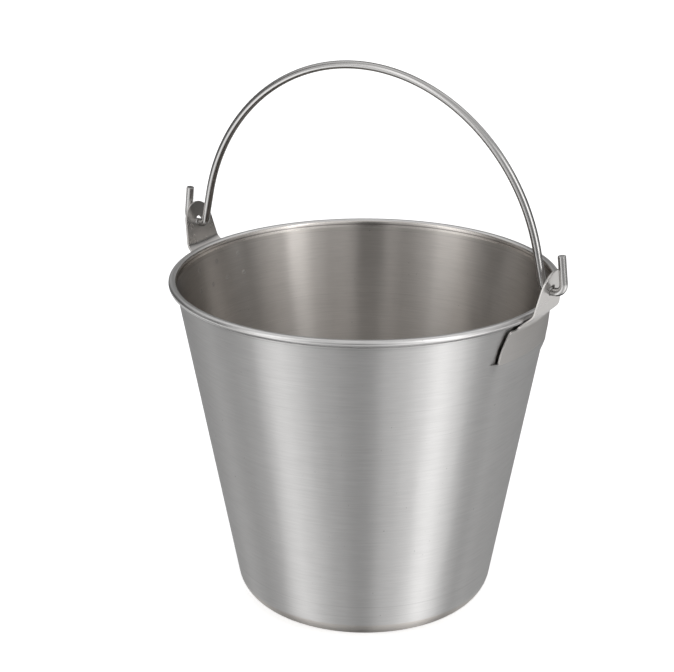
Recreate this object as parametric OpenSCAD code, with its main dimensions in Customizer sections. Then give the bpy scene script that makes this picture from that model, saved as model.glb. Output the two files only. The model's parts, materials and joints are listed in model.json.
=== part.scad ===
// Stainless milk pail: a drawn shell with a rolled rim, two welded ears and a hinged wire bail.
// Origin: centre of the resting face, on the floor. +Z is up and the two ears lie on +X and -X.

/* [Pail body] */
// Outside diameter over the rolled rim
rim_d = 305; // [290:1:330]
// Height from the floor to the top of the rim
pail_h = 268; // [240:1:300]
// Outside diameter that the wall would reach at the floor if its corner were sharp
base_d = 198; // [190:1:210]
// Outside radius of the corner between the wall and the bottom
corner_r = 23; // [15:1:30]
// Thickness of the drawn sheet
wall_t = 0.9; // [0.7:0.1:1.2]
// Outside diameter of the rolled rim's curl
bead_d = 6; // [5.6:0.1:6.2]
// Angle below the horizontal at which the curl's free edge stops
curl_end = 130; // [100:5:135]
// Diameter of the raised panel in the bottom, at the floor
panel_d = 130; // [100:5:140]
// Height of the raised panel above the floor
panel_h = 1.5; // [0.5:0.1:2.5]

/* [Ears] */
// Thickness of the ear plate
ear_t = 1.5; // [1.2:0.1:1.6]
// Gap between the pail wall and the ear's foot
ear_gap = 1.5; // [1.4:0.1:2]
// Half width of the foot at its lower edge
foot_half_w = 37; // [34:0.5:40]
// Half width of the foot at its upper corners, before they are rounded
shoulder_half_w = 31; // [29:0.5:32]
// Depth of the foot's upper edge below the rim
foot_top = 10.5; // [10:0.5:12]
// Depth of the foot's lower edge below the rim
foot_bottom = 38; // [34:0.5:42]
// Depth below the rim at which the plate bends outward, under the curl
joggle_low = 9.5; // [9.5:0.1:10.5]
// Depth below the rim at which the plate bends upward again, outside the curl
joggle_high = 2.3; // [2:0.1:3]
// Distance from the pail's axis to the outer face at that upper bend
joggle_x = 158.2; // [158:0.1:160]
// Outward lean of the lug above the bend
lug_lean = 12; // [8:0.5:14]
// Radius of the lug's round top
lug_r = 16.8; // [15:0.1:18]
// Slope of the lug's sides
lug_side_slope = 10; // [6:0.5:12]
// Diameter of the eye that the bail turns in
eye_d = 8.3; // [7.6:0.1:9]

/* [Bail] */
// Diameter of the bail wire
wire_d = 6.3; // [5.5:0.1:6.8]
// Height of the pivot axis above the rim
pivot_rise = 15.5; // [14.5:0.5:17]
// Height of the wire's crown above the pivot axis, at the wire's centre
bail_rise = 148.1; // [140:0.1:149]
// Radius of the arch, at the wire's centre
arch_r = 152.5; // [151:0.1:153]
// Slant of the straight legs below the arch, from the vertical
leg_slant = 12.3; // [10:0.1:14]
// Bend radius just inside each ear, at the wire's centre
eye_bend_r = 5; // [4.5:0.1:6]
// Distance from the pail's axis to the hook, measured on the pivot axis
hook_x = 172.4; // [172:0.1:176]
// Bend radius of the hook, at the wire's centre
hook_bend_r = 6.5; // [6:0.1:7]
// Height of the hook's cut end above the pivot axis
hook_h = 28.5; // [22:0.5:34]
// Inward lean of the hook
hook_lean = 6.5; // [0:0.5:8]
// Chamfer on the hook's cut end
hook_chamfer = 0.5; // [0.2:0.1:1]

/* [Welds] */
// Diameter of a spot-weld nugget
nugget_d = 4.2; // [3.5:0.1:5]
// How far a nugget stands out of the faces that it joins
nugget_proud = 0.12; // [0.05:0.01:0.2]
// Depth of the upper row of spot welds below the rim
upper_row = 15.5; // [15:0.5:18]
// Spacing of the upper row of three
upper_pitch = 27; // [20:1:27]
// Depth of the lower row of spot welds below the rim
lower_row = 32; // [28:0.5:34]
// Spacing of the lower row of four
lower_pitch = 20; // [15:1:21]
// Height of the ground seam weld below the foot's lower edge
seam_h = 16; // [10:0.5:18]

/* [Hidden] */
$fn = 180;
bend_fn = 72;
shell_fn = 240;
reach = 400;
ear_angle = 40;

// Radius of a corner that is left sharp.
sharp_r = 0.01;

// How far a cutting shape stands clear of the faces that it cuts.
margin = 1;

// The bail rests in its eyes with this much air under the wire.
eye_clearance = 0.05;

// How far each straight wire runs into a bend, and how much thinner the bend is.
bend_overlap = 0.2;
bend_thinning = 0.04;

// Slope of the raised panel's edge.
panel_slant = 45;

// Rounds of the ear's outline, and the slight outward bow of the foot's sides.
neck_r = 4;
shoulder_r = 4;
flank_r = 20;
flank_in = 0.8;

// Depth below the rim to which the lug's slab is drawn before the web trims it.
lug_depth = 30;

// How far inboard of the foot's bend the web trims the lug's slab.
web_back = 40;

bead_r = bead_d / 2;
bead_x = rim_d / 2 - bead_r;
bead_z = pail_h - bead_r;
curl_hollow_r = bead_r - wall_t;

// The wall's outer line leaves the base corner and touches the inside of the curl.
corner_to_bead = [bead_x - base_d / 2, bead_z];
wall_slope = acos(curl_hollow_r / norm(corner_to_bead))
    - atan2(corner_to_bead[1], corner_to_bead[0]);
wall_dir = [sin(wall_slope), cos(wall_slope)];
wall_out = [cos(wall_slope), -sin(wall_slope)];
curl_start = 180 - wall_slope;

pivot_z = pail_h + pivot_rise;
eye_z = pivot_z + (eye_d - wire_d) / 2 - eye_clearance;
arch_centre = [0, bail_rise - arch_r];
leg_top = arch_centre + arch_r * [cos(leg_slant), sin(leg_slant)];

foot_low = point_on_wall(pail_h - foot_bottom, ear_gap + ear_t);
foot_bend = point_on_wall(pail_h - joggle_low, ear_gap + ear_t);
lug_bend = [joggle_x, pail_h - joggle_high];
web_dir = unit(lug_bend - foot_bend);
lug_dir = [sin(lug_lean), cos(lug_lean)];

// Unit vector along v.
function unit(v) = v / norm(v);

// Point in the radial plane, at height z, that stands off the wall's outer face by a given distance.
function point_on_wall(z, off) =
    [base_d / 2 + z * tan(wall_slope), z] + off / cos(wall_slope) * [1, 0];

// Unit vector a quarter turn clockwise from v.
function right_of(v) = [v[1], -v[0]];

// Length from a corner to where a round of radius r meets its sides.
function round_cut(a, b, c, r) = r * tan((180 - corner_angle(a, b, c)) / 2);
function corner_angle(a, b, c) = acos(max(-1, min(1, unit(a - b) * unit(c - b))));

// Polygon whose corners are rounded by true arcs. A negative radius fills a re-entrant corner.
module rounded_polygon(points, radii) {
    n = len(points);
    ends = [for (i = [0:n - 1])
        let (a = points[(i + n - 1) % n], b = points[i], c = points[(i + 1) % n])
        let (cut = round_cut(a, b, c, abs(radii[i])))
        [b + cut * unit(a - b), b + cut * unit(c - b)]];
    centres = [for (i = [0:n - 1])
        let (a = points[(i + n - 1) % n], b = points[i], c = points[(i + 1) % n])
        b + unit(unit(a - b) + unit(c - b)) * abs(radii[i]) / sin(corner_angle(a, b, c) / 2)];
    difference() {
        union() {
            polygon([for (pair = ends) each pair]);
            for (i = [0:n - 1]) if (radii[i] > 0) translate(centres[i]) circle(radii[i]);
        }
        for (i = [0:n - 1]) if (radii[i] < 0) translate(centres[i]) circle(-radii[i]);
    }
}

// Half section of a cup with a cone wall, a round corner and a raised panel.
// inset moves every face inward by that distance, towards the inside of the pail.
module cup_section(inset, top) {
    corner = [base_d / 2 - inset / cos(wall_slope) + inset * tan(wall_slope), inset];
    far = corner + wall_dir * (top - inset) / cos(wall_slope);
    cut = (corner_r - inset) * tan((90 - wall_slope) / 2);
    centre = [corner[0] - cut, corner_r];
    panel_r = panel_d / 2 + inset * tan(panel_slant / 2);
    difference() {
        union() {
            polygon([[0, inset], [centre[0], inset], corner + cut * wall_dir, far, [0, far[1]]]);
            translate(centre) circle(corner_r - inset);
        }
        polygon([[0, inset - margin], [panel_r, inset - margin], [panel_r, inset],
                 [panel_r - panel_h / tan(panel_slant), inset + panel_h],
                 [0, inset + panel_h]]);
    }
}

// Half section of the shell below the curl.
module wall_section() {
    bead = [bead_x, bead_z];
    far_left = bead - wall_out * reach;
    intersection() {
        difference() {
            cup_section(0, pail_h + bead_d);
            cup_section(wall_t, pail_h + 2 * bead_d);
        }
        polygon([bead, far_left, far_left - wall_dir * reach, bead - wall_dir * reach]);
    }
}

// Section of the rolled rim, open on its underside.
module curl_section() {
    gap_end = 360 - curl_end;
    translate([bead_x, bead_z]) difference() {
        circle(bead_r);
        circle(curl_hollow_r);
        polygon([[0, 0], for (a = [curl_start, (curl_start + gap_end) / 2, gap_end])
            bead_d * [cos(a), sin(a)]]);
    }
}

module pail_body() {
    color([0.74, 0.73, 0.71]) {
        rotate_extrude($fn = shell_fn) wall_section();
        rotate_extrude($fn = shell_fn) curl_section();
    }
}

// Section of the foot, which follows the wall, and of the web that carries on past the lug.
module foot_section(thickness_in) {
    web_end = foot_bend + web_dir * 2 * norm(lug_bend - foot_bend);
    foot_in = right_of(unit(foot_bend - foot_low)) * -thickness_in;
    web_in = right_of(web_dir) * -thickness_in;
    miter = unit(foot_in + web_in) * thickness_in / cos(corner_half(wall_dir, web_dir));
    polygon([foot_low, foot_bend, web_end, web_end + web_in, foot_bend + miter,
             foot_low + foot_in]);
}

// Half of the angle between two directions.
function corner_half(u, v) = acos(u * v) / 2;

// Outline of the whole ear, as it is seen along X.
module ear_outline() {
    side_x = lug_r * cos(lug_side_slope);
    side_z = pivot_z + lug_r * sin(lug_side_slope);
    shoulder_z = pail_h - foot_top;
    bottom_z = pail_h - foot_bottom;
    neck_x = side_x + (side_z - shoulder_z) * tan(lug_side_slope);
    flank = [foot_half_w - flank_in, (shoulder_z + bottom_z) / 2 - margin];
    half = [[foot_half_w, bottom_z], flank, [shoulder_half_w, shoulder_z],
            [neck_x, shoulder_z], [side_x, side_z]];
    other = [for (i = [len(half) - 1:-1:0]) [-half[i][0], half[i][1]]];
    radii = [sharp_r, flank_r, shoulder_r, -neck_r, sharp_r];
    rounded_polygon(concat(half, other), concat(radii, [for (i = [4:-1:0]) radii[i]]));
    translate([0, pivot_z]) circle(lug_r);
}

// Slab that holds everything on the pail's side of the lug's outer face, back by inset.
module inboard_of_lug(inset) {
    low = lug_bend - lug_dir * reach - inset * right_of(lug_dir);
    high = low + lug_dir * 2 * reach;
    rotate([90, 0, 0]) linear_extrude(2 * reach, center = true)
        polygon([low, high, high - [reach, 0], low - [reach, 0]]);
}

// One ear, on +X.
module ear() {
    difference() {
        intersection() {
            union() {
                intersection() {
                    inboard_of_lug(0);
                    rotate([0, 0, -ear_angle / 2]) rotate_extrude(angle = ear_angle)
                        foot_section(ear_t);
                }
                lug();
            }
            rotate([90, 0, 90]) linear_extrude(reach) ear_outline();
        }
        translate([0, 0, eye_z]) rotate([0, 90, 0]) cylinder(h = reach, d = eye_d);
    }
}

// Flat lug above the web, cut off below by the web's outer face.
module lug() {
    web_far = foot_bend + web_dir * reach;
    web_near = foot_bend - web_dir * web_back;
    difference() {
        inboard_of_lug(0);
        inboard_of_lug(ear_t);
        rotate([0, 0, -ear_angle / 2]) rotate_extrude(angle = ear_angle)
            polygon([web_near, [reach, web_near[1]], web_far]);
        translate([0, -reach, -reach]) cube([reach, 2 * reach, reach + pail_h - lug_depth]);
    }
}

module ear_right() {
    color([0.70, 0.69, 0.67]) ear();
}

module ear_left() {
    color([0.70, 0.69, 0.67]) mirror([1, 0, 0]) ear();
}

// One nugget, square to the wall, at an arc length along it and a depth below the rim.
module nugget(arc, depth) {
    spot = point_on_wall(pail_h - depth, 0);
    inner = wall_t + nugget_proud;
    outer = ear_gap + ear_t + nugget_proud;
    rotate([0, 0, arc / spot[0] * 180 / PI]) translate([spot[0], 0, spot[1]])
        rotate([0, 90 + wall_slope, 0]) translate([0, 0, -inner])
            cylinder(h = inner + outer, d = nugget_d, $fn = bend_fn);
}

// The seven nuggets of one ear, on +X.
module spot_welds() {
    for (i = [-1:1]) nugget(i * upper_pitch, upper_row);
    for (i = [-1.5:1.5]) nugget(i * lower_pitch, lower_row);
}

module spot_welds_right() {
    color([0.62, 0.60, 0.57]) spot_welds();
}

module spot_welds_left() {
    color([0.62, 0.60, 0.57]) mirror([1, 0, 0]) spot_welds();
}

// Ground fillet weld that runs the foot's lower edge down into the wall, on +X.
module seam_weld() {
    top_z = foot_low[1];
    foot_in = foot_low - (ear_gap + ear_t) * right_of(wall_dir);
    tip = point_on_wall(top_z - seam_h, 0);
    intersection() {
        rotate([0, 0, -ear_angle / 2]) rotate_extrude(angle = ear_angle)
            polygon([foot_in, tip, foot_low]);
        rotate([90, 0, 90]) linear_extrude(reach) seam_outline(top_z);
    }
}

// Outline of the seam weld, as it is seen along X.
module seam_outline(top_z) {
    low_z = top_z - seam_h - margin;
    high_z = top_z + margin;
    rounded_polygon([[-foot_half_w, low_z], [foot_half_w, low_z],
                     [foot_half_w, high_z], [-foot_half_w, high_z]],
                    [seam_h, seam_h, sharp_r, sharp_r]);
}

module seam_weld_right() {
    color([0.72, 0.71, 0.69]) seam_weld();
}

module seam_weld_left() {
    color([0.72, 0.71, 0.69]) mirror([1, 0, 0]) seam_weld();
}

// Straight wire along +Z from the origin. Children start at its far end.
// It runs a little way into the bend at each end.
module straight(length) {
    translate([0, 0, -bend_overlap]) cylinder(h = length + 2 * bend_overlap, d = wire_d);
    translate([0, 0, length]) children();
}

// Wire that starts at the origin along +Z and bends towards -X. Children start at its far end.
// The wire is a hair thinner where it is bent.
module bent(radius, angle) {
    translate([-radius, 0, 0]) {
        rotate([90, 0, 0]) rotate_extrude(angle = angle)
            translate([radius, 0]) circle(d = wire_d - bend_thinning, $fn = bend_fn);
        rotate([0, -angle, 0]) translate([radius, 0, 0]) children();
    }
}

// Straight end of the hook, with the edge of its cut face broken.
module hook_end(length) {
    rotate_extrude() polygon([[0, -bend_overlap], [wire_d / 2, -bend_overlap],
                              [wire_d / 2, length - hook_chamfer],
                              [wire_d / 2 - hook_chamfer, length], [0, length]]);
}

// One end of the bail, on +X: the leg, the bend through the eye, and the hook.
module bail_end() {
    eye_cut = eye_bend_r * tan((90 - leg_slant) / 2);
    hook_cut = hook_bend_r * tan((90 + hook_lean) / 2);
    leg_length = leg_top[1] / cos(leg_slant) - eye_cut;
    eye_length = hook_x - hook_cut - eye_cut - leg_top[0] - leg_top[1] * tan(leg_slant);
    hook_length = hook_h / cos(hook_lean) - hook_cut;
    translate([leg_top[0], 0, leg_top[1]]) rotate([0, 180 - leg_slant, 0])
        straight(leg_length) bent(eye_bend_r, 90 - leg_slant)
        straight(eye_length) bent(hook_bend_r, 90 + hook_lean)
        hook_end(hook_length);
}

module bail_handle() {
    color([0.66, 0.65, 0.63]) translate([0, 0, pivot_z]) {
        translate([leg_top[0], 0, leg_top[1]]) rotate([0, -leg_slant, 0])
            bent(arch_r, 180 - 2 * leg_slant);
        bail_end();
        mirror([1, 0, 0]) bail_end();
    }
}

pail_body();
ear_right();
ear_left();
spot_welds_right();
spot_welds_left();
seam_weld_right();
seam_weld_left();
bail_handle();
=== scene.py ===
"""Looks of the stainless milk pail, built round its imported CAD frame. Everything is in metres."""
import json
import math

import bpy
import numpy as np
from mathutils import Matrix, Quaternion, Vector, geometry


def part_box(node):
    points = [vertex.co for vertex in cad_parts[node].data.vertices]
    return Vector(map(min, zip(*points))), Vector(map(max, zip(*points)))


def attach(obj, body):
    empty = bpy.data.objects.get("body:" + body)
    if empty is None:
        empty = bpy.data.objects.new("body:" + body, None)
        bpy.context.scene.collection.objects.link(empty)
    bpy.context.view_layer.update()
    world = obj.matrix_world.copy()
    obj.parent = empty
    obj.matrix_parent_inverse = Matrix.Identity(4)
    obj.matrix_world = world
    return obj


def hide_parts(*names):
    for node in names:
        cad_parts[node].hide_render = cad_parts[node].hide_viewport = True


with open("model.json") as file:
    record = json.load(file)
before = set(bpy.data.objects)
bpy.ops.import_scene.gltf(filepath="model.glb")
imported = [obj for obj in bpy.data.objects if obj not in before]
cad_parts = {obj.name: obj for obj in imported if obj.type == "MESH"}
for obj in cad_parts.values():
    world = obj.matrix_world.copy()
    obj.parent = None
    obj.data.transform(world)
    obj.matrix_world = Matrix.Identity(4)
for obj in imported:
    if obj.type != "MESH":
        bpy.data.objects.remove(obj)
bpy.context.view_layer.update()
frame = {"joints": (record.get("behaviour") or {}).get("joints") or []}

MM = 0.001

# How finely curves, straight walls and flat sheets are divided.
FINE_STEP = 0.8 * MM
WALL_STEP = 4 * MM
FILL_PITCH = 1.2 * MM
SHELL_TURNS, WIRE_TURNS, NUGGET_TURNS = 480, 48, 32
CORNER_STEPS = 56

# Where the frame says that things are.
SHELL_LOW, SHELL_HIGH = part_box("pail_body")
EAR_LOW, EAR_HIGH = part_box("ear_right")
BAIL_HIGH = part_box("bail_handle")[1]
PIVOT = Vector(frame["joints"][0]["pos_m"])
RIM_R = SHELL_HIGH.x
RIM_Z = SHELL_HIGH.z

# Drawn shell.
SHEET = 0.9 * MM
BASE_R = 99 * MM
CORNER_R = 23 * MM
BEAD_R = 3 * MM
CURL_END = math.radians(-130)
PANEL_R = 65 * MM
PANEL_H = 1.5 * MM
PANEL_ROUND = 4 * MM
PANEL_SHIFT = 0.41 * SHEET
BEAD = np.array([RIM_R - BEAD_R, RIM_Z - BEAD_R])
HOLLOW_R = BEAD_R - SHEET
SLOPE = (math.acos(HOLLOW_R / math.hypot(BEAD[0] - BASE_R, BEAD[1]))
         - math.atan2(BEAD[1], BEAD[0] - BASE_R))
WALL_DIR = np.array([math.sin(SLOPE), math.cos(SLOPE)])
WALL_OUT = np.array([math.cos(SLOPE), -math.sin(SLOPE)])

# Ears: a foot that follows the wall, a web that carries on past the curl, and a flat lug.
PLATE = 1.5 * MM
GAP = 1.5 * MM
FOOT_BOTTOM = EAR_LOW.z
FOOT_HALF = EAR_HIGH.y
SHOULDER_HALF = 31 * MM
SHOULDER_Z = RIM_Z - 10.5 * MM
FOOT_BEND_Z = RIM_Z - 9.5 * MM
LUG_BEND = np.array([158.2 * MM, RIM_Z - 2.3 * MM])
LUG_LEAN = math.radians(12)
LUG_R = EAR_HIGH.z - PIVOT.z
LUG_SIDE_SLOPE = math.radians(10)
EYE_R = 4.15 * MM
EYE_Z = PIVOT.z + 0.95 * MM
BEND_SOFTNESS = 1.6 * MM
EDGE_ROUND = 0.35 * MM

# Welds.
NUGGET_R = 2.1 * MM
NUGGET_LIP = 0.09 * MM
UPPER_ROW_Z = RIM_Z - 15.5 * MM
UPPER_ROW_PITCH = 27 * MM
LOWER_ROW_Z = RIM_Z - 32 * MM
LOWER_ROW_PITCH = 20 * MM
SEAM_H = FOOT_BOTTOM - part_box("seam_weld_right")[0].z
SEAM_END = 9 * MM
SEAM_LAP = 3 * MM

# Bail wire.
WIRE_R = BAIL_HIGH.y
ARCH_R = 152.5 * MM
LEG_SLANT = math.radians(12.3)
EYE_BEND_R = 5 * MM
HOOK_BEND_R = 6.5 * MM
HOOK_H = 28.5 * MM
HOOK_LEAN = math.radians(6.5)
HOOK_X = BAIL_HIGH.x - WIRE_R + HOOK_BEND_R * (math.tan((math.pi / 2 + HOOK_LEAN) / 2) - 1)
HOOK_CHAMFER = 0.5 * MM

# Faint rings left by drawing, and in the first row a painted shade line along the bead's lower half,
# as (height, half width, loss of level).
RINGS_AND_BEAD_SHADE = (
    # Painted shade along the bead's lower half, not a drawing ring.
    (RIM_Z - 3.9 * MM, 0.9 * MM, 0.35),
    (RIM_Z - 9 * MM, 0.6 * MM, 0.07),
    (RIM_Z - 62 * MM, 0.8 * MM, 0.03),
    (CORNER_R * 1.4, 0.7 * MM, 0.05),
    (CORNER_R, 0.5 * MM, 0.04))

# Finishes: grey level, roughness and warmth, which is blue's loss against red.
WALL_LEVEL, WALL_ROUGH, WALL_WARMTH = 0.60, 0.42, 0.02
# The inside's extra warmth is painted shade.
INSIDE_SHADE_WARMTH = 0.08
EAR_LEVEL, EAR_ROUGH, EAR_WARMTH = 0.74, 0.48, 0.06
# The lug's lower level is painted shade; its smoothness is its finish.
LUG_PAINTED_SHADE, LUG_SMOOTHER = 0.14, 0.20
WELD_LEVEL, WELD_ROUGH, WELD_WARMTH = 0.50, 0.44, 0.08
WIRE_LEVEL, WIRE_ROUGH, WIRE_WARMTH = 0.50, 0.20, 0.03
WIRE_STRETCH = 0.3
QUARTER_TURN = 0.25
GRAIN_DEPTH, DIE_LINE_DEPTH, WAVE_DEPTH = 0.05 * MM, 0.02 * MM, 0.5 * MM

# Steel's loss of light at glancing angles, as the tint that its edges take.
EDGE_TINT = 0.75

# Camera, round a point near the pail's middle.
VIEW_AZIMUTH = math.radians(33.47)
VIEW_ELEVATION = math.radians(20.12)
VIEW_DISTANCE = 1.506
VIEW_AIM = Vector((-18.4, -11.8, 216.2)) * MM
VIEW_ROLL = math.radians(-0.14)
LENS = 102.2

# Studio light. A panel is (start and end round the pail from the camera, in degrees, level).
# Panels that overlap add up, so each side is one softbox in steps. A negative level is a gap.
# The shines are what the softboxes throw on the floor.
RIGHT_PANELS = ((6, 78, 0.60), (26, 64, 0.45), (38, 51, 1.85), (83, 96, 0.40))
LEFT_PANELS = ((13, 84, 0.48), (24, 28, -0.20), (36, 75, 0.36), (47, 65, 0.80), (101, 116, 0.25))
RIGHT_SHINE = ((11, 74, 0.28), (24, 72, 0.24), (47, 70, 0.34), (55, 68, 0.60))
LEFT_SHINE = ((28, 71, 0.28), (40, 70, 0.32), (52, 69, 0.25))
PANEL_EDGE = 3
PANEL_LIGHT = 1.08

# The rest of the studio, as light levels.
FLOOR_LIGHT, UNDER_LIGHT = 0.77, 0.12
SIDE_LOW, SIDE_HIGH = -0.30, 0.18
ROOM_LIGHT, CEILING_LIGHT, OVERHEAD_LIGHT = 0.06, 0.30, 0.30
FRONT_LIGHT, FAR_LIGHT, BACK_LIGHT = 0.35, 0.48, 0.45

# Soft edges of those lights, as (where a light starts, where it is full). Heights are the Z of a
# direction, and sides are its angle from the camera's side, in radians.
PANEL_FEET, PANEL_TOPS = (-0.20, 0.0), (0.80, 0.65)
CEILING_FOOT, OVERHEAD_FOOT = (0.4, 0.8), (0.65, 0.95)
FRONT_SIDE, FRONT_FOOT, FRONT_TOP = (0.60, 0.25), (0.30, 0.50), (0.90, 0.75)
FAR_NEAR_SIDE, FAR_FAR_SIDE, FAR_FOOT = (1.4, 2.0), (3.0, 2.4), (0.25, 0.5)
BACK_SIDE, BACK_FOOT, BACK_TOP = (2.4, 2.8), (-0.10, 0.05), (0.45, 0.25)
FLOOR_TOP, UNDER_TOP = (-0.12, -0.32), (-0.99, -0.80)
BESIDE_SIDE, BESIDE_HEIGHT = (1.2, 1.9), (-0.85, -0.50)
BEHIND_SIDE, BEHIND_DROP = (1.6, 2.6), 0.15

# Pale floor.
FLOOR_HALF = 40
FLOOR_COLOUR = (0.85, 0.85, 0.85, 1)
FLOOR_GLOW = 0.60
BACKDROP_LEVEL = 0.93


# ---------------------------------------------------------------- shapes

def arc(centre, radius, start, end, steps):
    """Points on an arc, from one angle to another."""
    angles = np.linspace(start, end, steps + 1)
    return [np.array(centre) + radius * np.array([math.cos(a), math.sin(a)]) for a in angles]


def line(a, b, step):
    """Points from a to b, evenly spaced and at most step apart."""
    a, b = np.array(a, float), np.array(b, float)
    count = max(1, math.ceil(np.linalg.norm(b - a) / step))
    return [a + (b - a) * i / count for i in range(count + 1)]


def unit(v):
    return np.array(v, float) / np.linalg.norm(v)


def rounded(points, radii, step, closed):
    """A line through points, each corner rounded by an arc of its radius."""
    path = []
    count = len(points)
    for i, (corner, radius) in enumerate(zip(points, radii)):
        corner = np.array(corner, float)
        if radius == 0 or (not closed and i in (0, count - 1)):
            path.append(corner)
            continue
        before = unit(np.array(points[i - 1]) - corner)
        after = unit(np.array(points[(i + 1) % count]) - corner)
        half = math.acos(np.clip(before @ after, -1, 1)) / 2
        centre = corner + unit(before + after) * radius / math.sin(half)
        first = corner + before * radius / math.tan(half) - centre
        last = corner + after * radius / math.tan(half) - centre
        start = math.atan2(first[1], first[0])
        turn = (math.atan2(last[1], last[0]) - start + math.pi) % (2 * math.pi) - math.pi
        path += arc(centre, radius, start, start + turn, max(3, math.ceil(abs(turn) * radius / step)))
    ends = path[1:] + path[:1] if closed else path[1:]
    dense = []
    for a, b in zip(path, ends):
        if np.linalg.norm(b - a) > 1e-7:
            dense += line(a, b, step)[:-1]
    return dense if closed else dense + [path[-1]]


def wall_r(z):
    """Radius of the wall's outer face at a height."""
    return BASE_R + z * math.tan(SLOPE)


def make_mesh(name, verts, faces):
    mesh = bpy.data.meshes.new(name)
    mesh.from_pydata([tuple(v) for v in verts], [], faces)
    mesh.validate()
    mesh.shade_smooth()
    piece = bpy.data.objects.new(name, mesh)
    bpy.context.scene.collection.objects.link(piece)
    return piece


def finish_piece(piece, material, body, node):
    piece.data.materials.append(material)
    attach(piece, body)
    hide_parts(node)
    return piece


def grid_faces(rows, columns, wrap):
    """Quads of a grid of rows by columns. wrap joins the last column to the first."""
    last = columns if wrap else columns - 1
    return [(r * columns + c, r * columns + (c + 1) % columns,
             (r + 1) * columns + (c + 1) % columns, (r + 1) * columns + c)
            for r in range(rows - 1) for c in range(last)]


def mirrored(points):
    """Points, or normals, of the other hand."""
    return [p * np.array([-1, 1, 1]) for p in points]


# ---------------------------------------------------------------- shell

def shell_outline():
    """The shell's section as one closed line, from the axis out along the underside, up the wall,
    round the curl and back down the inside."""
    cut = CORNER_R * math.tan((math.pi / 2 - SLOPE) / 2)
    centre = np.array([BASE_R - cut, CORNER_R])
    touch = math.pi - SLOPE
    panel = [[0, PANEL_H], [PANEL_R - PANEL_H, PANEL_H], [PANEL_R, 0], [centre[0], 0]]
    inner_panel = [[x + (PANEL_SHIFT if i in (1, 2) else 0), z + SHEET]
                   for i, (x, z) in enumerate(panel)]
    outside = rounded(panel, [0, PANEL_ROUND, PANEL_ROUND, 0], FINE_STEP, False)
    outside += arc(centre, CORNER_R, -math.pi / 2, -SLOPE, CORNER_STEPS)[1:]
    outside += line(outside[-1], BEAD - HOLLOW_R * WALL_OUT, WALL_STEP)[1:-1]
    outside += arc(BEAD, HOLLOW_R, touch, CURL_END, 60)
    inside = rounded(inner_panel, [0, PANEL_ROUND, PANEL_ROUND, 0], FINE_STEP, False)
    inside += arc(centre, CORNER_R - SHEET, -math.pi / 2, -SLOPE, CORNER_STEPS)[1:]
    inside += line(inside[-1], BEAD - BEAD_R * WALL_OUT, WALL_STEP)[1:-1]
    inside += arc(BEAD, BEAD_R, touch, CURL_END, 72)
    return outside + inside[::-1]


def lathe(name, outline, turns):
    """Turns an outline that starts and ends on the axis into a closed mesh."""
    ring = outline[1:-1]
    verts = [(r * math.cos(a), r * math.sin(a), z)
             for r, z in ring for a in np.arange(turns) * 2 * math.pi / turns]
    faces = grid_faces(len(ring), turns, True)
    low, high = len(verts), len(verts) + 1
    verts += [(0, 0, outline[0][1]), (0, 0, outline[-1][1])]
    start = (len(ring) - 1) * turns
    faces += [(low, (i + 1) % turns, i) for i in range(turns)]
    faces += [(high, start + i, start + (i + 1) % turns) for i in range(turns)]
    return make_mesh(name, verts, faces)


def make_shell(material):
    shell = lathe("pail_shell", shell_outline(), SHELL_TURNS)
    shell.data.set_sharp_from_angle(angle=math.radians(50))
    return finish_piece(shell, material, "pail", "pail_body")


# ---------------------------------------------------------------- ears

def smooth_max(a, b, softness):
    """The larger of two heights, with the corner between them rounded."""
    near = np.maximum(1 - abs(a - b) / (2 * softness), 0)
    return np.maximum(a, b) + near ** 2 * softness / 2


def strip(ring, following):
    """Quads that join two closed rings of points."""
    ahead = zip(ring, following, following[1:] + following[:1], ring[1:] + ring[:1])
    return [tuple(quad) for quad in ahead]


def ear_face(y, z):
    """How far out the ear's outer face lies, at y and z."""
    stand = (GAP + PLATE) / math.cos(SLOPE)
    bend_r = wall_r(FOOT_BEND_Z) + stand
    web_slope = (LUG_BEND[0] - bend_r) / (LUG_BEND[1] - FOOT_BEND_Z)
    foot = np.sqrt((wall_r(z) + stand) ** 2 - y ** 2)
    web = np.sqrt(np.maximum(bend_r + (z - FOOT_BEND_Z) * web_slope, 60 * MM) ** 2 - y ** 2)
    lug = LUG_BEND[0] + (z - LUG_BEND[1]) * math.tan(LUG_LEAN)
    return -smooth_max(-smooth_max(foot, web, BEND_SOFTNESS), -lug, BEND_SOFTNESS)


def ear_normals(flat):
    """Which way the ear's outer face looks, at places along Y and Z."""
    small = 0.05 * MM
    y, z = np.array(flat).T
    slope_y = (ear_face(y + small, z) - ear_face(y - small, z)) / (2 * small)
    slope_z = (ear_face(y, z + small) - ear_face(y, z - small)) / (2 * small)
    out = np.stack([np.ones_like(y), -slope_y, -slope_z], axis=1)
    return out / np.linalg.norm(out, axis=1)[:, None]


def ear_points(flat, depth):
    """Points of the ear at some depth below its outer face, from their places along Y and Z."""
    y, z = np.array(flat).T
    return list(np.stack([ear_face(y, z), y, z], axis=1) - ear_normals(flat) * depth)


def ear_outline():
    """Outline of the ear as it is seen along X, anticlockwise."""
    side_y = LUG_R * math.cos(LUG_SIDE_SLOPE)
    side_z = PIVOT.z + LUG_R * math.sin(LUG_SIDE_SLOPE)
    neck_y = side_y + (side_z - SHOULDER_Z) * math.tan(LUG_SIDE_SLOPE)
    flank = [FOOT_HALF - 0.8 * MM, (SHOULDER_Z + FOOT_BOTTOM) / 2 - 1 * MM]
    half = [[FOOT_HALF, FOOT_BOTTOM], flank, [SHOULDER_HALF, SHOULDER_Z], [neck_y, SHOULDER_Z]]
    radii = [0, 20 * MM, 4 * MM, 4 * MM]
    top = arc([0, PIVOT.z], LUG_R, LUG_SIDE_SLOPE, math.pi - LUG_SIDE_SLOPE, 48)
    points = half + top + [[-y, z] for y, z in half[::-1]]
    return rounded(points, radii + [0] * len(top) + radii[::-1], FINE_STEP, True)


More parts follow.
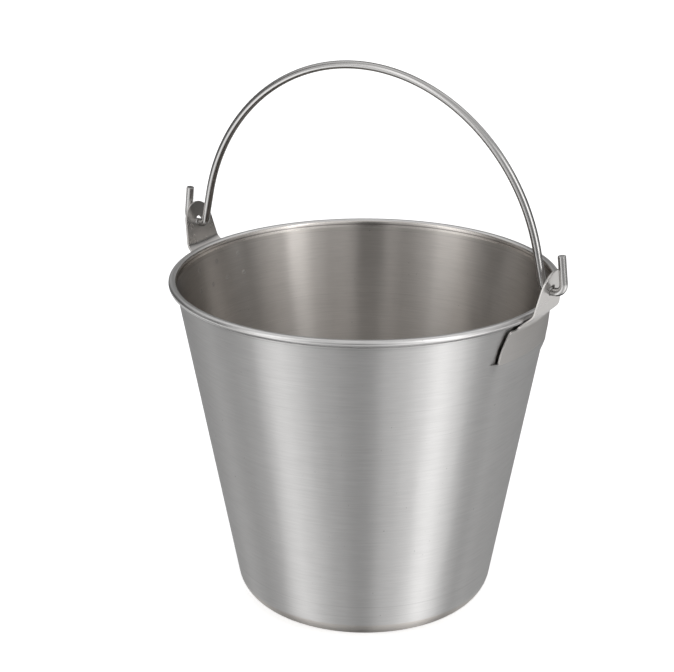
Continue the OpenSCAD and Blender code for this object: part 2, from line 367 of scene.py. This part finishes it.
def inset(loop, distance):
    """A closed anticlockwise line moved to its left by a distance."""
    moved = []
    for i, point in enumerate(loop):
        along = unit(loop[(i + 1) % len(loop)] - loop[i - 1])
        moved.append(point + distance * np.array([-along[1], along[0]]))
    return moved


def inside_loop(points, loop):
    """Whether each point lies inside a closed line."""
    y, z = np.array(points).T
    hits = np.zeros(len(y), int)
    for (ay, az), (by, bz) in zip(loop, loop[1:] + loop[:1]):
        if az != bz:
            crossed = (az > z) != (bz > z)
            hits += crossed & (y < ay + (z - az) * (by - ay) / (bz - az))
    return hits % 2 == 1


def fill_sheet(outline, hole, pitch):
    """Triangles that fill an outline round a hole: (points, triangles as indices). The outline's
    points come first, then the hole's."""
    edge = np.array(outline + hole)
    (low_y, low_z), (high_y, high_z) = edge.min(0), edge.max(0)
    grid = np.array([(y, z) for y in np.arange(low_y, high_y, pitch)
                     for z in np.arange(low_z, high_z, pitch)])
    eye = np.mean(hole, axis=0)
    eye_r = np.linalg.norm(hole[0] - eye)
    clear = np.linalg.norm(grid[:, None] - edge[None], axis=2).min(1) > 0.55 * pitch
    grid = grid[clear & inside_loop(grid, outline) & (np.linalg.norm(grid - eye, axis=1) > eye_r)]
    n, m = len(outline), len(hole)
    edges = [(i, (i + 1) % n) for i in range(n)] + [(n + i, n + (i + 1) % m) for i in range(m)]
    points = [Vector(p) for p in outline + hole + list(grid)]
    found = geometry.delaunay_2d_cdt(points, edges, [], 0, 1e-7)
    places, triangles = np.array(found[0]), np.array(found[2])
    middles = places[triangles].mean(1)
    kept = inside_loop(middles, outline) & (np.linalg.norm(middles - eye, axis=1) > eye_r)
    return places, [tuple(t) for t in triangles[kept].tolist()]


def make_ear(name, node, side, material):
    """One formed ear plate with broken edges. side is 1 on +X and -1 on -X. Its normals come from
    the formulas, so that the fill's triangles don't show."""
    outline = ear_outline()
    hole = arc([0, EYE_Z], EYE_R, 2 * math.pi, 0, 64)[:-1]
    # Steps round a broken edge: shift inwards, depth, and the normal's shares of face and edge.
    rim = [(EDGE_ROUND * (1 - math.sin(a)), EDGE_ROUND * (1 - math.cos(a)), math.cos(a), math.sin(a))
           for a in np.linspace(0, math.pi / 2, 4)]
    rim += [(shift, PLATE - depth, -face, edge) for shift, depth, face, edge in rim[::-1]]
    flat, triangles = fill_sheet(inset(outline, EDGE_ROUND), inset(hole, EDGE_ROUND), FILL_PITCH)
    verts = ear_points(flat, 0) + ear_points(flat, PLATE)
    normals = list(ear_normals(flat)) + list(-ear_normals(flat))
    back = len(flat)
    faces = list(triangles) + [tuple(back + i for i in t[::-1]) for t in triangles]
    first = 0
    for loop in (outline, hole):
        count = len(loop)
        previous = list(range(first, first + count))
        beside = np.array(ear_points(inset(loop, EDGE_ROUND), PLATE / 2))
        edge_out = np.array([unit(v) for v in np.array(ear_points(loop, PLATE / 2)) - beside])
        for shift, depth, face, edge in rim[1:-1]:
            current = list(range(len(verts), len(verts) + count))
            ring = inset(loop, shift)
            verts += ear_points(ring, depth)
            normals += list(face * ear_normals(ring) + edge * edge_out)
            faces += strip(previous, current)
            previous = current
        faces += strip(previous, list(range(back + first, back + first + count)))
        first += count
    if side < 0:
        verts, normals, faces = mirrored(verts), mirrored(normals), [f[::-1] for f in faces]
    ear = make_mesh(name, verts, faces)
    ear.data.normals_split_custom_set_from_vertices(normals)
    return finish_piece(ear, material, "pail", node)


# ---------------------------------------------------------------- welds

def nugget_outline():
    """Section of a spot weld, from the inside of the pail out: a pressed dish with a low lip
    inside. Outside it is ground away, so it ends just under the foot's face."""
    inner = -SHEET
    outer = GAP + PLATE
    return [[0, inner - 0.01 * MM], [NUGGET_R * 0.35, inner - 0.02 * MM],
            [NUGGET_R * 0.6, inner - 0.6 * NUGGET_LIP], [NUGGET_R * 0.75, inner - NUGGET_LIP],
            [NUGGET_R * 0.9, inner - 0.5 * NUGGET_LIP], [NUGGET_R, inner + 0.02 * MM],
            [NUGGET_R, outer - 0.3 * MM], [0, outer - 0.2 * MM]]


def make_nuggets(name, node, side, material):
    """The seven spot welds of one ear."""
    turns = NUGGET_TURNS
    verts, faces = [], []
    spots = [(UPPER_ROW_PITCH * i, UPPER_ROW_Z) for i in (-1, 0, 1)]
    spots += [(LOWER_ROW_PITCH * i, LOWER_ROW_Z) for i in (-1.5, -0.5, 0.5, 1.5)]
    outline = nugget_outline()
    ring = outline[1:-1]
    for reach, z in spots:
        angle = reach / wall_r(z)
        radial = np.array([math.cos(angle), math.sin(angle), 0])
        across = np.array([-math.sin(angle), math.cos(angle), 0])
        out = radial * WALL_OUT[0] + np.array([0, 0, WALL_OUT[1]])
        up = radial * WALL_DIR[0] + np.array([0, 0, WALL_DIR[1]])
        centre = radial * wall_r(z) + np.array([0, 0, z])
        first = len(verts)
        for r, h in ring:
            verts += [centre + out * h + r * (math.cos(a) * across + math.sin(a) * up)
                      for a in np.arange(turns) * 2 * math.pi / turns]
        faces += [tuple(first + i for i in f) for f in grid_faces(len(ring), turns, True)]
        low = len(verts)
        verts += [centre + out * outline[0][1], centre + out * outline[-1][1]]
        top = first + (len(ring) - 1) * turns
        faces += [(low, first + (i + 1) % turns, first + i) for i in range(turns)]
        faces += [(low + 1, top + i, top + (i + 1) % turns) for i in range(turns)]
    if side < 0:
        verts, faces = mirrored(verts), [f[::-1] for f in faces]
    return finish_piece(make_mesh(name, verts, faces), material, "pail", node)


def smooth_step(t):
    t = np.clip(t, 0, 1)
    return t * t * (3 - 2 * t)


def seam_height(y, z):
    """How far the ground seam weld stands off the wall. It rises to the foot's lower edge, fades
    out past the foot's sides and sinks behind its face."""
    proud = 0.02 * MM
    t = (z - (FOOT_BOTTOM - SEAM_H)) / SEAM_H
    rise = np.clip(0.65 * t + 0.35 * smooth_step(t), 0, 1)
    fade = 1 - smooth_step((abs(y) - FOOT_HALF) / SEAM_END)
    outside = smooth_step((abs(y) - FOOT_HALF) / (0.8 * SEAM_END))
    fade *= 1 - outside * smooth_step(1 + (z - FOOT_BOTTOM) / (0.8 * SEAM_H))
    sink = smooth_step((z - FOOT_BOTTOM - SEAM_LAP / 2) / (SEAM_LAP / 2))
    return (GAP + PLATE) * rise * fade + proud * (2 * rise * fade - 1) - 4 * proud * sink


def make_seam(name, node, side, material):
    """The ground fillet under one foot, as a thin pillow that sinks into the wall all round. It is
    ground and brushed with the wall, so it takes the wall's normals."""
    low, high = FOOT_BOTTOM - SEAM_H - 0.5 * MM, FOOT_BOTTOM + SEAM_LAP
    half = FOOT_HALF + SEAM_END
    rows, columns = 40, 161
    verts = []
    for front in (True, False):
        for z in np.linspace(low, high, rows):
            for y in np.linspace(-half, half, columns):
                off = seam_height(y, z) if front else -0.1 * MM
                r = wall_r(z) + off / math.cos(SLOPE)
                verts.append(np.array([math.sqrt(r * r - y * y), y, z]))
    size = rows * columns
    faces = grid_faces(rows, columns, False)
    faces += [tuple(size + i for i in f[::-1]) for f in faces]
    edge = list(range(columns)) + [r * columns + columns - 1 for r in range(1, rows)]
    edge += [(rows - 1) * columns + c for c in range(columns - 2, -1, -1)]
    edge += [r * columns for r in range(rows - 2, 0, -1)]
    faces += [(b, a, size + a, size + b) for a, b in zip(edge, edge[1:] + edge[:1])]
    if side < 0:
        verts, faces = mirrored(verts), [f[::-1] for f in faces]
    seam = make_mesh(name, verts, faces)
    normals = [(*(unit(v[:2]) * WALL_OUT[0]), WALL_OUT[1]) for v in verts]
    seam.data.normals_split_custom_set_from_vertices(normals)
    return finish_piece(seam, material, "pail", node)


# ---------------------------------------------------------------- bail

def bail_path():
    """The wire's centre line in the XZ plane, from the cut end of one hook to the other."""
    arch_z = BAIL_HIGH.z - WIRE_R - ARCH_R
    leg_top = np.array([ARCH_R * math.cos(LEG_SLANT), arch_z + ARCH_R * math.sin(LEG_SLANT)])
    eye_x = leg_top[0] + (leg_top[1] - PIVOT.z) * math.tan(LEG_SLANT)
    tip = [HOOK_X - HOOK_H * math.tan(HOOK_LEAN), PIVOT.z + HOOK_H]
    half = [tip, [HOOK_X, PIVOT.z], [eye_x, PIVOT.z], leg_top]
    end = rounded(half, [0, HOOK_BEND_R, EYE_BEND_R, 0], FINE_STEP, False)
    crown = arc([0, arch_z], ARCH_R, LEG_SLANT, math.pi - LEG_SLANT, 220)[1:-1]
    return end + crown + [p * np.array([-1, 1]) for p in end[::-1]]


def make_bail(material):
    """The wire, swept along its path, with the edges of its cut ends broken. Its map runs along
    the wire, so that the drawn finish can follow it."""
    path = bail_path()
    turns = WIRE_TURNS
    first, last = unit(path[0] - path[1]), unit(path[-1] - path[-2])
    stations = [(path[0], WIRE_R - HOOK_CHAMFER), (path[0] - first * HOOK_CHAMFER, WIRE_R)]
    stations += [(p, WIRE_R) for p in path[2:-2]]
    stations += [(path[-1] - last * HOOK_CHAMFER, WIRE_R), (path[-1], WIRE_R - HOOK_CHAMFER)]
    verts, run = [], [0.0]
    for i, (centre, radius) in enumerate(stations):
        ahead = stations[min(i + 1, len(stations) - 1)][0]
        behind = stations[max(i - 1, 0)][0]
        along = unit(ahead - behind)
        side = np.array([-along[1], along[0]])
        if i:
            run.append(run[-1] + np.linalg.norm(centre - behind))
        for a in np.arange(turns) * 2 * math.pi / turns:
            flat = centre + side * radius * math.cos(a)
            verts.append((flat[0], radius * math.sin(a), flat[1]))
    faces = grid_faces(len(stations), turns, True)
    end = (len(stations) - 1) * turns
    faces += [tuple(range(turns))[::-1], tuple(end + i for i in range(turns))]
    bail = make_mesh("bail_wire", verts, [f[::-1] for f in faces])
    mapped = bail.data.uv_layers.new(name="along_wire")
    for face in bail.data.polygons:
        columns = [v % turns for v in face.vertices]
        wraps = max(columns) - min(columns) > turns / 2
        for loop, v, column in zip(face.loop_indices, face.vertices, columns):
            turn = column + (turns if wraps and column < turns / 2 else 0)
            mapped.data[loop].uv = (run[v // turns], turn / turns * 2 * math.pi * WIRE_R)
    bail.data.set_sharp_from_angle(angle=math.radians(35))
    return finish_piece(bail, material, "bail", "bail_handle")


# ---------------------------------------------------------------- materials

class Shader:
    """A material's or world's node tree, with short calls that add nodes and return sockets."""

    def __init__(self, owner):
        owner.use_nodes = True
        self.tree = owner.node_tree
        self.tree.nodes.clear()

    def add(self, kind, inputs, output=0, **settings):
        made = self.tree.nodes.new("ShaderNode" + kind)
        for key, value in settings.items():
            setattr(made, key, value)
        for key, value in inputs.items():
            self.feed(value, made.inputs[key])
        return made.outputs[output] if made.outputs else made

    def feed(self, value, socket):
        if isinstance(value, bpy.types.NodeSocket):
            self.tree.links.new(value, socket)
        else:
            socket.default_value = value

    def math(self, operation, *values):
        return self.add("Math", dict(enumerate(values)), operation=operation)

    def ramp(self, value, low, high, start=0.0, end=1.0):
        """Smooth change from start to end while value goes from low to high."""
        return self.add("MapRange", {0: value, 1: low, 2: high, 3: start, 4: end},
                        interpolation_type="SMOOTHSTEP")

    def noise(self, where, scale, detail, roughness=0.5):
        return self.add("TexNoise", {"Vector": where, "Scale": scale, "Detail": detail,
                                     "Roughness": roughness})

    def vector(self, x, y, z):
        return self.add("CombineXYZ", {0: x, 1: y, 2: z})

    def split(self, vector):
        node = self.tree.nodes.new("ShaderNodeSeparateXYZ")
        self.feed(vector, node.inputs[0])
        return node.outputs[0], node.outputs[1], node.outputs[2]

    def place(self):
        """Position on the object, at rest, in metres."""
        return self.add("TexCoord", {}, output="Object")

    def shifted(self, value, share, amount):
        """value, moved by an amount where share is 1."""
        return self.math("ADD", value, self.math("MULTIPLY", share, amount))

    def varied(self, value, noise, amount):
        """value, spread over an amount by a noise that averages a half."""
        return self.shifted(value, self.math("SUBTRACT", noise, 0.5), amount)

    def scaled(self, x, y, z, scales):
        """A place for noise, with its own scale along each axis."""
        return self.vector(*[self.math("MULTIPLY", value, scale)
                             for value, scale in zip((x, y, z), scales)])

    def bump(self, height, strength, depth, **inputs):
        return self.add("Bump", {"Strength": strength, "Distance": depth, "Height": height, **inputs})


def steel(name):
    """A new material and its shader."""
    material = bpy.data.materials.new(name)
    return material, Shader(material)


def steel_surface(s, tint, roughness, anisotropy, tangent, turn, normal):
    """Bare metal. Its highlights stretch along the tangent, or across it with a quarter turn."""
    surface = s.add("BsdfPrincipled", {
        "Base Color": tint, "Metallic": 1.0, "Roughness": roughness, "Anisotropic": anisotropy,
        "Specular Tint": (EDGE_TINT, EDGE_TINT, EDGE_TINT, 1),
        "Anisotropic Rotation": turn, "Tangent": tangent, "Normal": normal})
    s.add("OutputMaterial", {"Surface": surface})


def grey(s, level, warmth):
    """Steel's colour, at a level that a socket may vary. warmth is blue's loss against red."""
    green = s.math("SUBTRACT", 1.0, s.math("MULTIPLY", warmth, 0.5))
    blue = s.math("SUBTRACT", 1.0, warmth)
    return s.add("CombineColor", {0: level, 1: s.math("MULTIPLY", level, green),
                                  2: s.math("MULTIPLY", level, blue)})


def around(s, place):
    """Direction round the pail's axis. A Tangent node would go round the piece's own middle."""
    x, y, _ = s.split(place)
    return s.vector(s.math("MULTIPLY", y, -1.0), x, 0.0)


def radius(s, x, y):
    """Distance from the pail's axis."""
    return s.math("POWER", s.math("ADD", s.math("MULTIPLY", x, x), s.math("MULTIPLY", y, y)), 0.5)


def stand_off(s, r, z):
    """How far a place at a radius and height stands outside the wall's outer face."""
    wall = s.math("ADD", BASE_R, s.math("MULTIPLY", z, math.tan(SLOPE)))
    return s.math("SUBTRACT", r, wall)


def brushed(s, place, level):
    """Steel brushed round the pail: rings of fine lines and short streaks. Gives the level, the
    lines' height and the broad bands."""
    x, y, z = s.split(place)
    run = s.math("ADD", z, radius(s, x, y))
    fine = s.noise(s.scaled(x, y, run, (20, 20, 1600)), 1.0, 3.0, 0.6)
    streaks = s.noise(s.scaled(x, y, run, (60, 60, 700)), 1.0, 2.0)
    broad = s.noise(s.scaled(x, y, run, (6, 6, 160)), 1.0, 4.0, 0.6)
    for noise, amount in ((fine, 0.10), (streaks, 0.10), (broad, 0.07)):
        level = s.varied(level, noise, amount)
    return level, s.math("ADD", fine, streaks), broad


def band(s, value, centre, half):
    """1 at a value, falling to 0 a half width away."""
    return s.ramp(s.math("ABSOLUTE", s.math("SUBTRACT", value, centre)), half, 0.0)


def shell_steel():
    """Drawn and brushed round the pail: fine rings, faint draw marks, small specks and a painted
    shade line along the bead's lower half. The bead is smoother and brighter, and the inside is
    painted a little darker and warmer, as shade."""
    material, s = steel("shell_steel")
    place = s.place()
    x, y, z = s.split(place)
    inside = s.ramp(stand_off(s, radius(s, x, y), z), -0.3 * SHEET, -0.7 * SHEET)
    on_bead = s.ramp(z, RIM_Z - 2.2 * BEAD_R, RIM_Z - 1.9 * BEAD_R)
    level, lines, broad = brushed(s, place, WALL_LEVEL)
    level = s.varied(level, s.noise(place, 14.0, 3.0), 0.03)
    level = s.shifted(level, s.ramp(s.noise(place, 420.0, 1.0), 0.78, 0.84), -0.25)
    # The first row paints a shade line on the bead; the other rows are faint draw rings.
    for height, half, loss in RINGS_AND_BEAD_SHADE:
        level = s.shifted(level, band(s, z, height, half), -loss)
    # The bead is brighter; the inside is painted a little darker, as shade.
    level = s.shifted(s.shifted(level, on_bead, 0.08), inside, -0.03)
    rough = s.varied(WALL_ROUGH, broad, 0.08)
    rough = s.shifted(s.shifted(rough, on_bead, -0.08), inside, -0.08)
    # The inside's warmer tint is painted shade.
    warmth = s.shifted(WALL_WARMTH, inside, INSIDE_SHADE_WARMTH)
    flow = s.shifted(1.0, on_bead, -0.75)
    waves = s.noise(s.vector(x, y, s.math("MULTIPLY", z, 0.15)), 24.0, 2.0)
    wavy = s.bump(waves, 1.0, WAVE_DEPTH)
    normal = s.bump(lines, 0.08, GRAIN_DEPTH, Normal=wavy)
    steel_surface(s, grey(s, level, warmth), rough, flow, around(s, place), QUARTER_TURN, normal)
    return material


def ear_steel():
    """Sheet grain across the plate, tumbled soft, with a little handling wear. The lug is smoother
    than the foot, which was ground with the wall, and is painted darker, as shade."""
    material, s = steel("ear_steel")
    place = s.place()
    x, y, z = s.split(place)
    grain = s.noise(s.scaled(x, y, z, (60, 40, 1500)), 1.0, 3.0, 0.6)
    cloud = s.noise(place, 60.0, 4.0, 0.6)
    on_lug = s.ramp(z, FOOT_BEND_Z - 2 * MM, RIM_Z)
    # The lug is painted darker than the foot, as shade.
    level = s.shifted(EAR_LEVEL, on_lug, -LUG_PAINTED_SHADE)
    level = s.varied(s.varied(level, grain, 0.08), cloud, 0.05)
    rough = s.varied(s.shifted(EAR_ROUGH, on_lug, -LUG_SMOOTHER), cloud, 0.06)
    flow = s.shifted(1.0, on_lug, -0.7)
    normal = s.bump(grain, 0.12, GRAIN_DEPTH)
    tint = grey(s, level, EAR_WARMTH)
    steel_surface(s, tint, rough, flow, around(s, place), QUARTER_TURN, normal)
    return material


def weld_steel():
    """Spot-weld nuggets: a granular pressed face inside, a little darker than the wall, and a
    brighter ground one outside."""
    material, s = steel("weld_steel")
    place = s.place()
    x, y, z = s.split(place)
    outside = s.ramp(stand_off(s, radius(s, x, y), z), 1 * MM, 2 * MM)
    grains = s.noise(place, 900.0, 3.0, 0.6)
    level = s.shifted(s.varied(WELD_LEVEL, grains, 0.15), outside, 0.10)
    flow = s.shifted(0.5, outside, 0.5)
    normal = s.bump(grains, 0.15, GRAIN_DEPTH)
    tint = grey(s, level, WELD_WARMTH)
    steel_surface(s, tint, WELD_ROUGH, flow, around(s, place), QUARTER_TURN, normal)
    return material


def seam_steel():
    """The ground seam, brushed like the wall, with a few small pits left by the weld."""
    material, s = steel("seam_steel")
    place = s.place()
    level, lines, _ = brushed(s, place, WALL_LEVEL)
    level = s.shifted(level, s.ramp(s.noise(place, 500.0, 1.0), 0.76, 0.82), -0.2)
    normal = s.bump(lines, 0.08, GRAIN_DEPTH)
    tint = grey(s, level, WALL_WARMTH)
    steel_surface(s, tint, WALL_ROUGH, 1.0, around(s, place), QUARTER_TURN, normal)
    return material


def wire_steel():
    """Drawn wire: long straight die lines, bright and fairly smooth."""
    material, s = steel("wire_steel")
    u, v, _ = s.split(s.add("UVMap", {}, uv_map="along_wire"))
    lines = s.noise(s.vector(s.math("MULTIPLY", u, 30), s.math("MULTIPLY", v, 2200), 0.0), 1.0, 2.0)
    cloud = s.noise(s.place(), 50.0, 3.0)
    level = s.varied(s.varied(WIRE_LEVEL, lines, 0.16), cloud, 0.06)
    rough = s.varied(WIRE_ROUGH, cloud, 0.08)
    normal = s.bump(lines, 0.1, DIE_LINE_DEPTH)
    tangent = s.add("Tangent", {}, direction_type="UV_MAP", uv_map="along_wire")
    steel_surface(s, grey(s, level, WIRE_WARMTH), rough, WIRE_STRETCH, tangent, 0.0, normal)
    return material


# ---------------------------------------------------------------- studio

def floor_white():
    """Pale floor that keeps a faint contact shadow and can't be seen from below."""
    material = bpy.data.materials.new("studio_floor")
    s = Shader(material)
    lit = s.add("BsdfDiffuse", {"Color": FLOOR_COLOUR})
    glow = s.add("Emission", {"Color": (1, 1, 1, 1), "Strength": FLOOR_GLOW})
    both = s.add("AddShader", {0: lit, 1: glow})
    clear = s.add("BsdfTransparent", {})
    behind = s.add("NewGeometry", {}, output="Backfacing")
    s.add("OutputMaterial", {"Surface": s.add("MixShader", {0: behind, 1: both, 2: clear})})
    return material


def make_floor():
    """The floor under the pail. Steel doesn't see it, as the studio's light stands in for it."""
    corners = [(x * FLOOR_HALF, y * FLOOR_HALF, SHELL_LOW.z)
               for x, y in ((-1, -1), (1, -1), (1, 1), (-1, 1))]
    floor = make_mesh("studio_floor", corners, [(0, 1, 2, 3)])
    floor.data.materials.append(floor_white())
    floor.visible_glossy = False


def softbox(s, angle, panels):
    """Brightness of one side's panels over the angle round the pail."""
    total = 0.0
    for start, end, level in panels:
        rise = s.ramp(angle, math.radians(start - PANEL_EDGE), math.radians(start + PANEL_EDGE))
        fall = s.ramp(angle, math.radians(end + PANEL_EDGE), math.radians(end - PANEL_EDGE))
        total = s.math("ADD", total, s.math("MULTIPLY", s.math("MULTIPLY", rise, fall), level))
    return total


def view_angle(s, x, y):
    """Angle round the pail from the camera, in radians, positive to its right."""
    turn = VIEW_AZIMUTH - math.pi / 2
    ahead = s.math("ADD", s.math("MULTIPLY", x, math.cos(turn)),
                   s.math("MULTIPLY", y, math.sin(turn)))
    aside = s.math("SUBTRACT", s.math("MULTIPLY", y, math.cos(turn)),
                   s.math("MULTIPLY", x, math.sin(turn)))
    return s.math("ARCTAN2", aside, ahead)


def patch(s, across, up, level):
    """A soft patch of light from its two ramps."""
    return s.math("MULTIPLY", s.math("MULTIPLY", across, up), level)


def room_light(s, away, z):
    """The dark room, its ceiling, and patches: high in front, high on both far sides, behind at
    the horizon, and overhead. away is a direction's angle from the camera's side, and z its Z."""
    room = s.ramp(z, *CEILING_FOOT, ROOM_LIGHT, ROOM_LIGHT + CEILING_LIGHT)
    front = s.math("MULTIPLY", s.ramp(z, *FRONT_FOOT), s.ramp(z, *FRONT_TOP))
    front = patch(s, s.ramp(away, *FRONT_SIDE), front, FRONT_LIGHT)
    far = s.math("MULTIPLY", s.ramp(away, *FAR_NEAR_SIDE), s.ramp(away, *FAR_FAR_SIDE))
    far = patch(s, far, s.ramp(z, *FAR_FOOT), FAR_LIGHT)
    back = s.math("MULTIPLY", s.ramp(z, *BACK_FOOT), s.ramp(z, *BACK_TOP))
    back = patch(s, s.ramp(away, *BACK_SIDE), back, BACK_LIGHT)
    overhead = s.ramp(z, *OVERHEAD_FOOT, 0.0, OVERHEAD_LIGHT)
    for light in (front, far, back, overhead):
        room = s.math("ADD", room, light)
    return room


def floor_light(s, away, z, shine):
    """What the steel sees below the horizon. It is dim straight down, and more so behind the pail.
    Beside and behind, it is lowered near the pail's foot and raised further out."""
    low = s.math("SUBTRACT", z, s.ramp(away, *BEHIND_SIDE, 0.0, BEHIND_DROP))
    floor = s.math("ADD", s.ramp(low, *UNDER_TOP, UNDER_LIGHT, FLOOR_LIGHT), shine)
    beside = s.math("MULTIPLY", s.ramp(away, *BESIDE_SIDE),
                    s.ramp(z, *BESIDE_HEIGHT, SIDE_LOW, SIDE_HIGH))
    return s.math("MULTIPLY", s.ramp(z, *FLOOR_TOP), s.math("ADD", floor, beside))


def make_studio():
    """A dark studio with a pale floor and a tall softbox on each side of the camera. The camera
    itself sees a plain pale backdrop."""
    world = bpy.data.worlds.new("studio")
    bpy.context.scene.world = world
    s = Shader(world)
    x, y, z = s.split(s.add("TexCoord", {}, output="Generated"))
    angle = view_angle(s, x, y)
    other = s.math("MULTIPLY", angle, -1.0)
    away = s.math("ABSOLUTE", angle)
    boxes = s.math("ADD", softbox(s, angle, RIGHT_PANELS), softbox(s, other, LEFT_PANELS))
    shine = s.math("ADD", softbox(s, angle, RIGHT_SHINE), softbox(s, other, LEFT_SHINE))
    in_box = s.math("MULTIPLY", s.ramp(z, *PANEL_FEET), s.ramp(z, *PANEL_TOPS))
    light = s.math("ADD", room_light(s, away, z), floor_light(s, away, z, shine))
    light = s.math("ADD", light, patch(s, boxes, in_box, PANEL_LIGHT))
    seen = s.add("LightPath", {}, output="Is Camera Ray")
    level = s.add("Mix", {0: seen, 2: light, 3: BACKDROP_LEVEL})
    s.add("OutputWorld", {"Surface": s.add("Background", {
        "Color": s.add("CombineColor", {0: level, 1: level, 2: level}), "Strength": 1.0})})


def make_camera():
    camera = bpy.data.objects.new("camera", bpy.data.cameras.new("camera"))
    bpy.context.scene.collection.objects.link(camera)
    flat = math.cos(VIEW_ELEVATION)
    back = Vector((math.sin(VIEW_AZIMUTH) * flat, -math.cos(VIEW_AZIMUTH) * flat,
                   math.sin(VIEW_ELEVATION)))
    camera.location = VIEW_AIM + back * VIEW_DISTANCE
    camera.rotation_mode = "QUATERNION"
    aim = (-back).to_track_quat("-Z", "Y")
    aim.rotate(Quaternion(back, VIEW_ROLL))
    camera.rotation_quaternion = aim
    camera.data.lens = LENS
    camera.data.sensor_width = 36
    bpy.context.scene.camera = camera


shell_finish, ear_finish = shell_steel(), ear_steel()
weld_finish, seam_finish, wire_finish = weld_steel(), seam_steel(), wire_steel()
make_shell(shell_finish)
for hand, side in (("right", 1), ("left", -1)):
    make_ear("ear_plate_" + hand, "ear_" + hand, side, ear_finish)
    make_nuggets("weld_nuggets_" + hand, "spot_welds_" + hand, side, weld_finish)
    make_seam("ground_seam_" + hand, "seam_weld_" + hand, side, seam_finish)
make_bail(wire_finish)
make_floor()
make_studio()
make_camera()
bpy.context.scene.view_settings.view_transform = "Standard"
